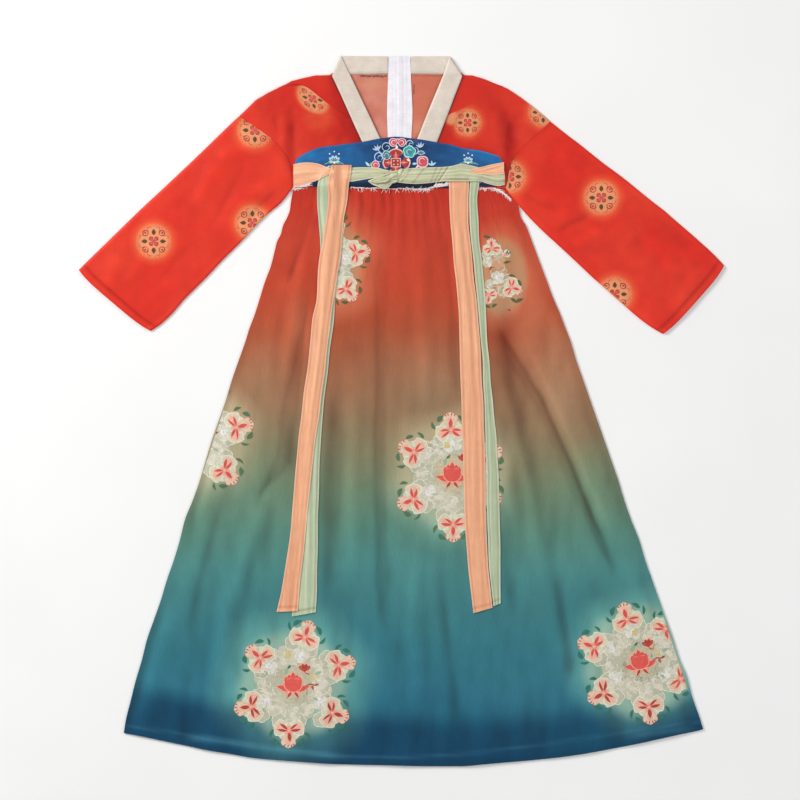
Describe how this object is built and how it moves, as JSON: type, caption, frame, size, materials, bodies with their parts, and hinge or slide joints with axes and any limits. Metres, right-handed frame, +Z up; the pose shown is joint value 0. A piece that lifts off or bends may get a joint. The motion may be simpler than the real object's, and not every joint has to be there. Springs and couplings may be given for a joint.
{
  "type": "hanfu",
  "caption": "Long-sleeved hanfu dress laid flat: chest-high flared skirt, crossed cream collar, wide chest band and long hanging ribbon ties.",
  "frame": {"origin": "bottom centre of the laid-out garment, on the surface it rests on", "axes": "+Y from hem to collar, +X across the garment from its right sleeve to its left, +Z up out of the front"},
  "size_m": [0.9044, 0.9954, 0.0127],
  "materials": {
    "silk_red": "satin, soft sheen",
    "silk_red_wrong_side": "satin outside, paler salmon inside",
    "skirt_ombre": "chiffon over satin, dyed from coral red through olive to teal",
    "band_blue": "brocade with a woven lotus ornament",
    "ribbon_peach": "soft satin ribbon",
    "ribbon_green": "soft satin ribbon",
    "collar_cream": "matt plain weave, folded double",
    "tape_white": "woven zip tape",
    "trim_white": "frayed white edging"
  },
  "bodies": {
    "root": {"skirt_back": "skirt_ombre", "skirt_front": "skirt_ombre", "bodice_back_right": "silk_red_wrong_side", "bodice_back_left": "silk_red_wrong_side", "bodice_front_right": "silk_red", "bodice_front_left": "silk_red", "sleeve_right": "silk_red", "sleeve_left": "silk_red", "zip_tape": "tape_white", "collar_right": "collar_cream", "collar_left": "collar_cream", "chest_band": "band_blue", "band_trim": "trim_white", "belt_peach_right": "ribbon_peach", "belt_green_right": "ribbon_green", "belt_green_left": "ribbon_green", "belt_peach_left": "ribbon_peach", "tie_green_right": "ribbon_green", "tie_peach_right": "ribbon_peach", "tie_peach_left": "ribbon_peach", "tie_green_left": "ribbon_green"}
  },
  "joints": []
}
